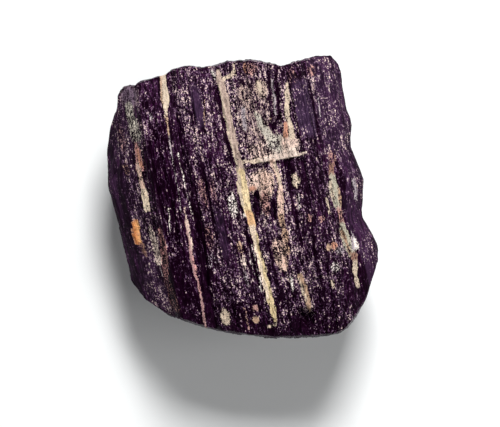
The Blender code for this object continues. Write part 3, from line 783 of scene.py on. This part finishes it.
# Where each side of the block lies in the stone's own map: low corner and size, in order
# left, right, lower end, upper end, back, front
MAP_PLACES = [
    (0.62, 0.01, 0.17, 0.40), (0.81, 0.01, 0.17, 0.40), (0.01, 0.01, 0.58, 0.13),
    (0.01, 0.16, 0.58, 0.13), (0.62, 0.43, 0.36, 0.55), (0.01, 0.31, 0.59, 0.67),
]
MAP_AXES = [(2, 1), (2, 1), (0, 2), (0, 2), (0, 1), (0, 1)]


def stone_map(spots, quads, side_of):
    """Map coordinates of every corner of every quad."""
    shares = spots / np.array([GRID_ACROSS, GRID_ALONG, GRID_DEEP])
    corners = shares[quads]
    uv = np.zeros(quads.shape + (2,))
    for side, (place, axes) in enumerate(zip(MAP_PLACES, MAP_AXES)):
        here = side_of == side
        for turn, axis in enumerate(axes):
            uv[here, :, turn] = place[turn] + place[turn + 2] * corners[here][:, :, axis]
    return uv


def add_attribute(mesh, name, values, kind="FLOAT"):
    """Store a value for each point of the mesh."""
    attribute = mesh.attributes.new(name, kind, "POINT")
    field = "color" if kind == "FLOAT_COLOR" else "value"
    attribute.data.foreach_set(field, np.ascontiguousarray(values, np.float32).ravel())


def store_minerals(mesh, x, y, line_y, level):
    """Store where the stone is stained and speckled, and how deep black it is: its own black, and
    painted shade in cracks, grooves and along the lower edge.
    """
    colour, amount = stains(x, y, level)
    depth = (level + 1.0) / 1.3 + 0.5 * (1.0 - level) * noise(x / 2.0, level * 5.0, 0.0, SEED + 53)
    depth = np.clip(depth, 0.0, np.clip((level + 0.9) / 0.5, 0.0, 1.0))
    end = on_end(line_y, level)
    # Painted shade: cracks on the front lose their stains and grains and go deep black
    crack = crack_cover(x, y)[0] * (level > 0.5)
    open_face = 1.0 - crack
    grains = level_at(SPECKLE, SPECKLE_SPOTS, x, y) * (0.6 + 0.4 * depth) * (1.0 - 0.4 * end)
    shade_and_black = level_at(SHADE_AND_BLACK, SHADE_AND_BLACK_SPOTS, x, y)
    add_attribute(mesh, "stain", np.column_stack([colour, np.ones(len(x))]), "FLOAT_COLOR")
    add_attribute(mesh, "stain_amount", amount * depth * open_face)
    add_attribute(mesh, "speckle", grains * open_face)
    add_attribute(mesh, "shade_and_black", np.maximum(shade_and_black, crack))


def store_faces(mesh, x, y, line_x, line_y, level):
    """Store where the stone's faces are smooth, where a lilac sheen is painted on them, on the flanks
    and on the ends' broken faces, and the random shade of each broken face.
    """
    facet = facets(line_x, line_y, level)
    end = on_end(line_y, level)
    # Painted sheen: the flanks and the ends' brighter broken faces get a lilac sheen, as the smooth
    # faces do
    flank = (np.abs(line_x) == HALF_WIDTH) * (0.1 + 0.4 * facet)
    broken = end * 0.8 * ease((facet - 0.45) / 0.3)
    smooth = np.maximum(smooth_face_and_sheen(x, y) * (level > 0.8), np.maximum(flank, broken))
    add_attribute(mesh, "smooth_face_and_sheen", smooth)
    add_attribute(mesh, "facet", facet)
    add_attribute(mesh, "polish", polish(x, y))
    add_attribute(mesh, "worn", ease(at(WORN, line_x)))


def stone_mesh():
    """The stone's mesh, with what its material needs stored on its points."""
    spots, quads, side_of = block_surface()
    line_x = (spots[:, 0] / GRID_ACROSS * 2.0 - 1.0) * HALF_WIDTH
    line_y = (spots[:, 1] / GRID_ALONG * 2.0 - 1.0) * HALF_LENGTH
    level = spots[:, 2] / GRID_DEEP * 2.0 - 1.0
    points = stone_points(line_x, line_y, level)
    points = np.clip(points * MM, np.array(CAD_LOW), np.array(CAD_HIGH))
    mesh = bpy.data.meshes.new("tourmaline_stone")
    mesh.from_pydata(points.tolist(), [], quads.tolist())
    mesh.update()
    uv = mesh.uv_layers.new(name="OFBake")
    uv.data.foreach_set("uv", stone_map(spots, quads, side_of).ravel())
    x, y = points[:, 0] / MM, points[:, 1] / MM
    store_minerals(mesh, x, y, line_y, level)
    store_faces(mesh, x, y, line_x, line_y, level)
    return mesh


# ---- materials


class Graph:
    """Short calls that add nodes to a material."""

    def __init__(self, name):
        self.material = bpy.data.materials.new(name)
        self.material.use_nodes = True
        self.tree = self.material.node_tree
        self.shader = self.tree.nodes["Principled BSDF"]

    def node(self, kind, values, output=0, **settings):
        """Add a node, set its fields, feed its sockets by number or name, and return an output."""
        node = self.tree.nodes.new(kind)
        for field, value in settings.items():
            setattr(node, field, value)
        for socket, value in values.items():
            if isinstance(value, bpy.types.NodeSocket):
                self.tree.links.new(value, node.inputs[socket])
            else:
                node.inputs[socket].default_value = value
        return node.outputs[output]

    def attribute(self, name, output="Fac"):
        return self.node("ShaderNodeAttribute", {}, output, attribute_name=name)

    def math(self, operation, first, second=0.0):
        return self.node("ShaderNodeMath", {0: first, 1: second}, operation=operation)

    def scaled(self, vector, scale):
        return self.node("ShaderNodeVectorMath", {0: vector, 1: scale}, operation="MULTIPLY")

    def noise(self, vector, scale, detail=2.0, roughness=0.5):
        values = {"Vector": vector, "Scale": scale, "Detail": detail, "Roughness": roughness}
        return self.node("ShaderNodeTexNoise", values)

    def cells(self, vector, scale):
        """A random colour for each small crystal."""
        values = {"Vector": vector, "Scale": scale}
        return self.node("ShaderNodeTexVoronoi", values, "Color")

    def red(self, colour):
        """Red part of a colour, from 0 to 1."""
        return self.node("ShaderNodeSeparateColor", {0: colour})

    def tilted(self, normal, tints, amount):
        """A surface direction, turned a little for each small crystal by its random colour."""
        middle = self.node("ShaderNodeVectorMath", {0: tints, 1: (0.5, 0.5, 0.5)}, operation="SUBTRACT")
        lean = self.node("ShaderNodeVectorMath", {0: middle, "Scale": amount}, operation="SCALE")
        total = self.node("ShaderNodeVectorMath", {0: normal, 1: lean}, operation="ADD")
        return self.node("ShaderNodeVectorMath", {0: total}, operation="NORMALIZE")

    def ramp(self, value, low, high, out_low=0.0, out_high=1.0):
        """Smooth step of a value between two limits."""
        values = {"Value": value, 1: low, 2: high, 3: out_low, 4: out_high}
        return self.node("ShaderNodeMapRange", values, interpolation_type="SMOOTHSTEP")

    def mix(self, share, first, second):
        """Mix of two colours."""
        return self.node("ShaderNodeMix", {0: share, 6: first, 7: second}, 2, data_type="RGBA")

    def multiply(self, colour, value):
        """A colour made lighter or darker by a value."""
        return self.node(
            "ShaderNodeMix", {0: 1.0, 6: colour, 7: value}, 2, data_type="RGBA", blend_type="MULTIPLY"
        )

    def feed(self, socket, value):
        self.tree.links.new(value, self.shader.inputs[socket])


DEEP_BLACK = (0.0035, 0.0, 0.0025, 1.0)
PURPLE_BLACK = (0.040, 0.0068, 0.036, 1.0)
# Lilac sheen painted on smooth faces, flanks and broken faces
SHEEN_LILAC = (0.044, 0.023, 0.052, 1.0)
# Lilac and pale grains: partly real grains, partly painted glints
LILAC_GRAIN_AND_GLINT = (0.14, 0.068, 0.145, 1.0)
PALE_LILAC_GRAIN_AND_GLINT = (0.56, 0.41, 0.57, 1.0)
PALE_CREAM_GRAIN_AND_GLINT = (0.84, 0.66, 0.58, 1.0)
METRES_TO_MM = (1000.0, 1000.0, 1000.0)
ALONG_STRETCH = (1.0, 0.10, 1.0)
STREAK_STRETCH = (1.0, 0.24, 1.0)
GRAIN_STRETCH = (1.0, 0.85, 1.0)
CRUMB_SCALE, SLIVER_SCALE = 6.5, 3.4  # small crystals to a millimetre
FACET_TILT = 0.8  # how far one small crystal's face leans from the next

# What each pattern is made of, with its weight
# Painted sheen: the facet part lightens each broken face and flank crystal by its random shade
TONE = {"broad": 0.8, "lines": 1.2, "streaks": 0.6, "slivers": 0.16, "facet": 0.4}
GRAIN_AND_GLINT_COVER = {
    "grains": 0.7, "streaks": 0.9, "lines": 0.8, "clusters": 0.5, "facet": 0.2, "slivers": 0.16,
    "crumbs": 0.5,
}
SEAM_COVER = {"grains": 0.9, "streaks": 0.9, "lines": 0.5, "crumbs": 0.28, "slivers": 0.14}
SEAM_SHADE = {"grains": 1.6, "streaks": 1.0, "lines": 0.8, "crumbs": 0.5, "slivers": 0.2}
BUMPS = {"grains": 1.2, "streaks": 0.8, "crumbs": 0.2}
FINE_LINES = {"lines": 0.5}

# Values of a pattern between which one look turns into the next
BLACK_RANGE = (-0.03, 0.20)
SHEEN_RANGE = (-0.2, 0.14, 0.4, 1.05)
TINT_RANGE = (0.12, 0.5)
CREAM_RANGE = (0.3, 0.7)
LILAC_RANGE = (0.0, 0.11)
PALE_RANGE = (0.12, 0.31)
SEAM_RANGE = (0.49, 0.57)
SHADE_AND_BLACK_STRENGTH = 0.75
SPECKLE_MIDDLE, SPECKLE_STRENGTH = 0.6, 0.5
# The dark grains here are the lilac ones, which are partly painted glints
LILAC_TINT = 0.6  # how much of a seam's colour its nearest dark grains take
SEAM_BRIGHTNESS = 1.05

ROUGHNESS = 0.26
POLISHED, WORN_OFF, MINERAL = -0.06, 0.65, 0.4  # what polish, wear and a seam add to it
IOR, SPECULAR_LEVEL = 1.5, 0.08
SPECULAR_TINT = (1.0, 0.4, 0.95, 1.0)
COARSEST = 1.15  # relief where there is no polish
BUMP_STRENGTH, BUMP_METRES = 0.6, 0.00025


def weighted(g, pattern, weights):
    """Sum of a pattern's values about one half, each times its weight."""
    total = None
    for name, weight in weights.items():
        part = g.math("MULTIPLY", g.math("SUBTRACT", pattern[name], 0.5), weight)
        total = part if total is None else g.math("ADD", total, part)
    return total


def stone_pattern(g):
    """The noises and small crystals that the stone's looks are made of, and the crystals' lean."""
    place = g.scaled(g.node("ShaderNodeTexCoord", {}, "Object"), METRES_TO_MM)
    along = g.scaled(place, ALONG_STRETCH)
    streaky = g.scaled(place, STREAK_STRETCH)
    grainy = g.scaled(place, GRAIN_STRETCH)
    crumb_tints = g.cells(grainy, CRUMB_SCALE)
    sliver_tints = g.cells(streaky, SLIVER_SCALE)
    pattern = {
        "broad": g.noise(along, 0.9, 3.0, 0.6),
        "lines": g.noise(along, 3.4, 3.0, 0.7),
        "streaks": g.noise(streaky, 3.0, 4.0, 0.7),
        "clusters": g.noise(grainy, 0.9, 3.0, 0.6),
        "grains": g.noise(grainy, 4.8, 3.0, 0.75),
        "crumbs": g.red(crumb_tints),
        "slivers": g.red(sliver_tints),
        "facet": g.attribute("facet"),
    }
    return pattern, g.mix(0.5, crumb_tints, sliver_tints)


def black_colour(g, pattern):
    """The black of the crystals, purple in places, darkened by painted shade in cracks, grooves and
    along the lower edge, with a painted lilac sheen on smooth faces, flanks and broken faces.
    """
    tone = weighted(g, pattern, TONE)
    black = g.mix(g.ramp(tone, *BLACK_RANGE), DEEP_BLACK, PURPLE_BLACK)
    # Painted shade: deep black in cracks, grooves and along the lower edge, mixed with the stone's own
    # darker places
    black = g.mix(g.math("MULTIPLY", g.attribute("shade_and_black"), SHADE_AND_BLACK_STRENGTH), black, DEEP_BLACK)
    # Painted sheen: a lilac reflection mixed in on smooth faces, flanks and broken faces
    sheen_share = g.math("MULTIPLY", g.attribute("smooth_face_and_sheen"), g.ramp(tone, *SHEEN_RANGE))
    return g.mix(sheen_share, black, SHEEN_LILAC)


def speckled_colour(g, pattern, stain_colour, stain_amount):
    """The black with its pale grains and painted glints, which take the colour of a seam close by."""
    tint = g.ramp(stain_amount, *TINT_RANGE)
    more = g.math("SUBTRACT", g.attribute("speckle"), SPECKLE_MIDDLE)
    cover = g.math("ADD", weighted(g, pattern, GRAIN_AND_GLINT_COVER), g.math("MULTIPLY", more, SPECKLE_STRENGTH))
    lilac_grain_and_glint = g.mix(g.math("MULTIPLY", tint, LILAC_TINT), LILAC_GRAIN_AND_GLINT, stain_colour)
    grain_and_glint_colour = g.mix(g.ramp(pattern["crumbs"], *CREAM_RANGE), PALE_LILAC_GRAIN_AND_GLINT, PALE_CREAM_GRAIN_AND_GLINT)
    pale_grain_and_glint = g.mix(tint, grain_and_glint_colour, stain_colour)
    speckled = g.mix(g.ramp(cover, *LILAC_RANGE), black_colour(g, pattern), lilac_grain_and_glint)
    return g.mix(g.ramp(cover, *PALE_RANGE), speckled, pale_grain_and_glint)


def stone_roughness(g, seam_mask):
    """Roughness: less on polished faces, more on worn ones and on the seams' minerals."""
    rough = g.math("ADD", g.math("MULTIPLY", g.attribute("polish"), POLISHED), ROUGHNESS)
    rough = g.math("ADD", rough, g.math("MULTIPLY", g.attribute("worn"), WORN_OFF))
    return g.math("ADD", rough, g.math("MULTIPLY", seam_mask, MINERAL))


def stone_normal(g, pattern, lean):
    """Surface direction: grain and lines, and the lean of each small crystal."""
    coarse = g.math("SUBTRACT", COARSEST, g.attribute("polish"))
    bumps = g.math("MULTIPLY", weighted(g, pattern, BUMPS), coarse)
    height = g.math("ADD", bumps, weighted(g, pattern, FINE_LINES))
    values = {"Height": height, "Strength": BUMP_STRENGTH, "Distance": BUMP_METRES}
    bent = g.node("ShaderNodeBump", values)
    return g.tilted(bent, lean, g.math("MULTIPLY", coarse, FACET_TILT))


def stone_material():
    """Black striated schorl with pale grains, painted glints, sheen and shade, and the seams' minerals.
    """
    g = Graph("schorl")
    pattern, lean = stone_pattern(g)
    stain_colour = g.attribute("stain", "Color")
    stain_amount = g.attribute("stain_amount")
    speckled = speckled_colour(g, pattern, stain_colour, stain_amount)
    seam_mask = g.ramp(g.math("ADD", weighted(g, pattern, SEAM_COVER), stain_amount), *SEAM_RANGE)
    shade = g.math("ADD", weighted(g, pattern, SEAM_SHADE), SEAM_BRIGHTNESS)
    g.feed("Base Color", g.mix(seam_mask, speckled, g.multiply(stain_colour, shade)))
    g.feed("Roughness", stone_roughness(g, seam_mask))
    g.feed("Normal", stone_normal(g, pattern, lean))
    g.shader.inputs["IOR"].default_value = IOR
    g.shader.inputs["Specular IOR Level"].default_value = SPECULAR_LEVEL
    g.shader.inputs["Specular Tint"].default_value = SPECULAR_TINT
    return g.material


FLOOR_TINTS = (0.84, 0.855, 0.855, 1.0), (0.86, 0.87, 0.87, 1.0)
FLOOR_SCALE, FLOOR_ROUGHNESS = 6.0, 0.9


def floor_material():
    """Plain pale floor, with a faint unevenness."""
    g = Graph("floor")
    place = g.node("ShaderNodeTexCoord", {}, "Object")
    g.feed("Base Color", g.mix(g.noise(place, FLOOR_SCALE), *FLOOR_TINTS))
    g.shader.inputs["Roughness"].default_value = FLOOR_ROUGHNESS
    return g.material


# ---- stage, light and camera

LEAN = math.radians(11.3)  # the crystals lean this far to the left of the picture's upright
PICTURE_WIDTH = 500
PIXELS_PER_MM = 6.08
CAMERA_SPOT = (1.3, -1.8)  # where the middle of the picture falls on the stone
CAMERA_DISTANCE = 500.0
FRONT_LEVEL = 23.0
SENSOR = 36.0
CLIP_START = 0.01  # metres
FLOOR_HALF = 1.5  # metres

# Soft lights: distance and size are in metres, and azimuth is clockwise from the picture's top
Light = namedtuple("Light", "name azimuth elevation distance size watts")
LIGHTS = [
    Light("key", 10.0, 50.0, 0.6, 0.2, 5.0),
    Light("fill_left", -80.0, 20.0, 0.6, 0.3, 0.15),
    Light("fill_right", 100.0, 45.0, 0.6, 0.3, 0.8),
    Light("front", 185.0, 40.0, 0.7, 0.4, 0.9),
]
STUDIO_COLOUR = (0.95, 0.97, 1.0, 1.0)
STUDIO_STRENGTH = 0.05


def add_object(name, data):
    """Put an object with this data in the scene."""
    made = bpy.data.objects.new(name, data)
    bpy.context.scene.collection.objects.link(made)
    return made


def make_stone():
    """The stone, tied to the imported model's node."""
    stone = add_object("tourmaline_stone", stone_mesh())
    stone.data.materials.append(stone_material())
    stone.data.shade_flat()
    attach(stone, "root")
    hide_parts(NODE)


def make_floor():
    """Plain floor that the stone lies on."""
    half = FLOOR_HALF
    mesh = bpy.data.meshes.new("floor")
    corners = [(-half, -half, 0.0), (half, -half, 0.0), (half, half, 0.0), (-half, half, 0.0)]
    mesh.from_pydata(corners, [], [(0, 1, 2, 3)])
    mesh.materials.append(floor_material())
    add_object("floor", mesh)


def make_camera():
    """Camera that looks straight down on the stone's front."""
    data = bpy.data.cameras.new("camera")
    data.sensor_width = SENSOR
    data.lens = SENSOR * CAMERA_DISTANCE / (PICTURE_WIDTH / PIXELS_PER_MM)
    data.clip_start = CLIP_START
    camera = add_object("camera", data)
    x, y = CAMERA_SPOT
    camera.location = (x * MM, y * MM, (FRONT_LEVEL + CAMERA_DISTANCE) * MM)
    camera.rotation_euler = (0.0, 0.0, -LEAN)
    bpy.context.scene.camera = camera


def make_light(kind):
    """Square soft light that faces the stone."""
    data = bpy.data.lights.new(kind.name, "AREA")
    data.size = kind.size
    data.energy = kind.watts
    light = add_object(kind.name, data)
    turn = math.radians(kind.azimuth) + LEAN
    tilt = math.radians(kind.elevation)
    out = (math.sin(turn) * math.cos(tilt), math.cos(turn) * math.cos(tilt), math.sin(tilt))
    light.location = [kind.distance * part for part in out]
    light.rotation_euler = (math.pi / 2 - tilt, 0.0, math.pi - turn)


def make_studio():
    """The lights and the faint light that comes from all sides."""
    for kind in LIGHTS:
        make_light(kind)
    world = bpy.data.worlds.new("studio")
    world.use_nodes = True
    background = world.node_tree.nodes["Background"]
    background.inputs["Color"].default_value = STUDIO_COLOUR
    background.inputs["Strength"].default_value = STUDIO_STRENGTH
    bpy.context.scene.world = world
    bpy.context.scene.view_settings.view_transform = "Standard"


make_stone()
make_floor()
make_camera()
make_studio()
